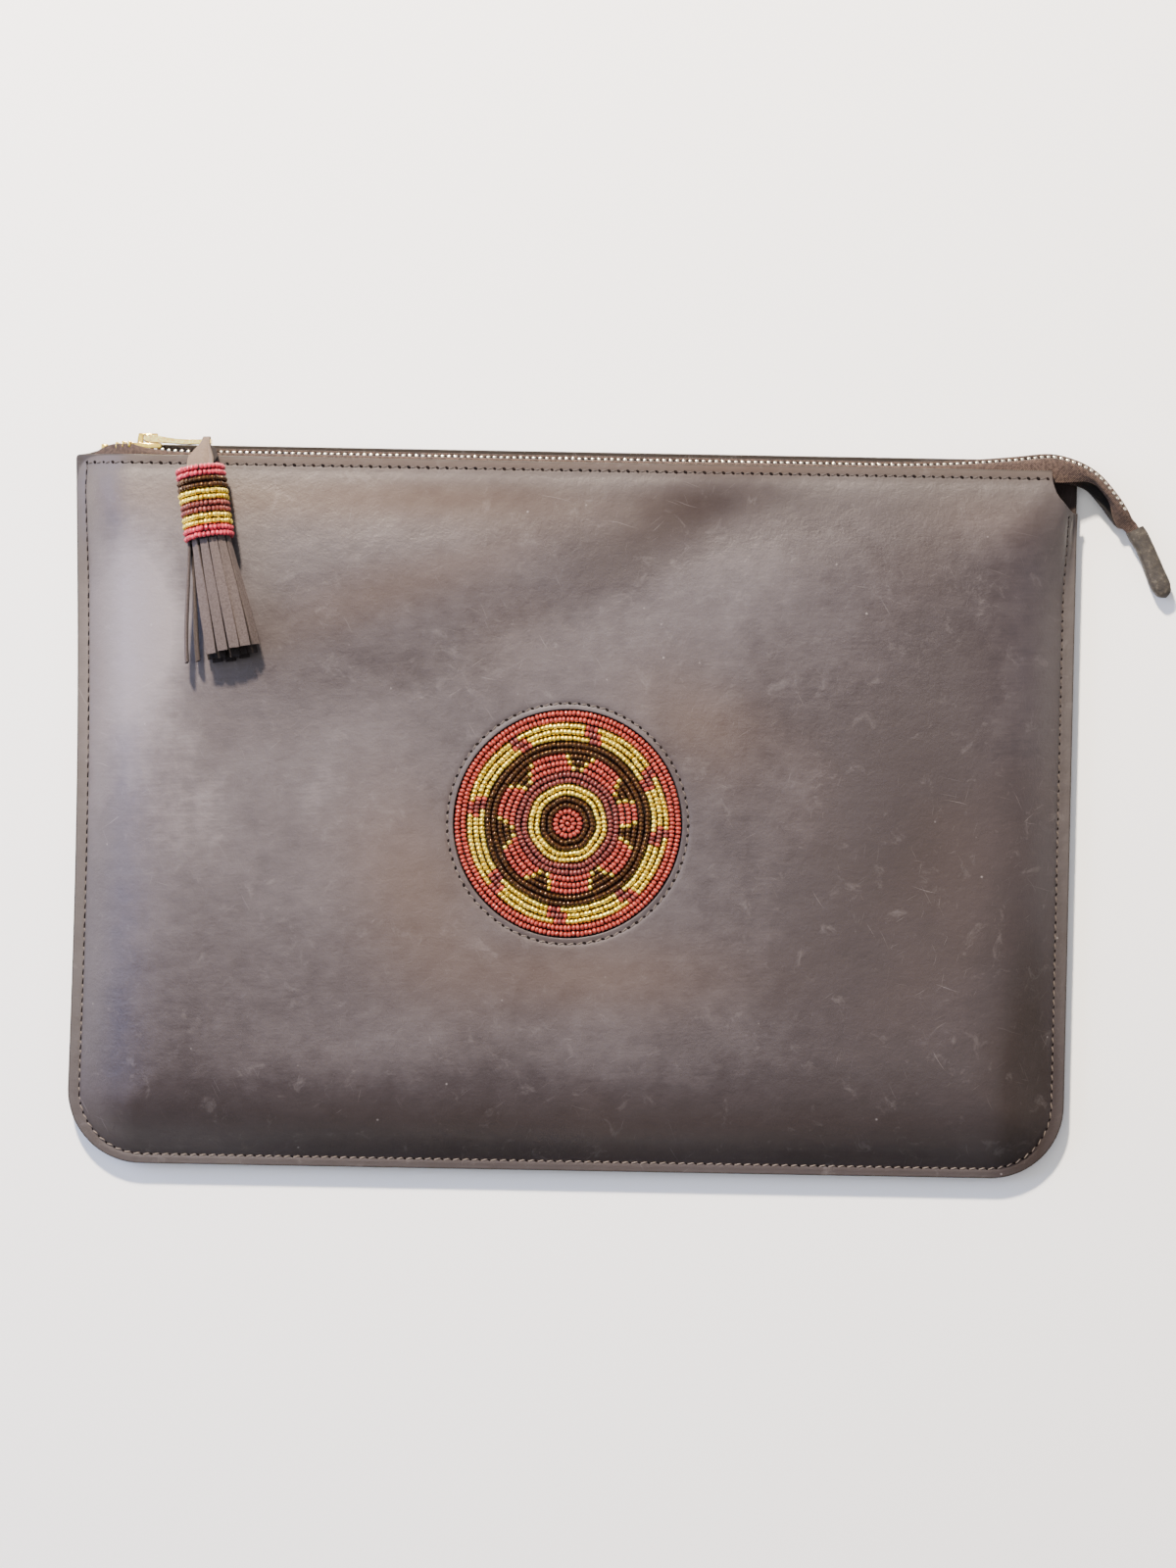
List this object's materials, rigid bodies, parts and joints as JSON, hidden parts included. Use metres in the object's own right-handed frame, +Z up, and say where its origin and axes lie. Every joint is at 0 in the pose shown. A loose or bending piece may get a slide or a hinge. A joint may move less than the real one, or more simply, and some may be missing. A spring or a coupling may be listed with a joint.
{
  "type": "beaded laptop sleeve",
  "caption": "Flat leather sleeve for a slim laptop, lying on its back, with a zip along its top edge, a beaded round inset on the front and a beaded tassel on the zip pull.",
  "frame": {"origin": "middle of the flat underside of the back panel, where the sleeve rests", "axes": "+Z up out of the front panel, +Y towards the zip, +X along the zip towards its free tail"},
  "size_m": [0.3713, 0.2489, 0.0374],
  "materials": {
    "waxed_leather": "waxed pull-up leather, grey-brown, softly scuffed",
    "cut_leather": "cut strips with a matte napped face",
    "zip_tape": "dark brown woven tape",
    "brass": "pale polished brass",
    "bead_red": "opaque glossy glass seed beads, coral red",
    "bead_gold": "lustred glass seed beads, gold",
    "bead_brown": "glossy glass seed beads, dark brown",
    "bead_plum": "lustred glass seed beads, dark plum",
    "thread": "waxed sewing thread"
  },
  "bodies": {
    "sleeve": {"front_panel": "waxed_leather", "back_panel": "waxed_leather", "tail_tab": "waxed_leather", "bead_backing": "cut_leather", "bead_medallion": "bead_red", "zip_tape_front": "zip_tape", "zip_tape_back": "zip_tape", "zip_chain": "brass", "open_teeth_front": "brass", "open_teeth_back": "brass", "top_stop_front": "brass", "top_stop_back": "brass", "slider_body": "brass"},
    "pull": {"pull_tab": "brass", "tassel_strap": "cut_leather", "tassel_skirt": "cut_leather", "bead_collar": "bead_red"}
  },
  "joints": [
    {"name": "pull_swing", "type": "hinge", "parent": "sleeve", "child": "pull", "pos_m": [-0.1452, 0.126, 0.00965], "axis": [0, 0, 1], "range_deg": [0, 170]}
  ]
}
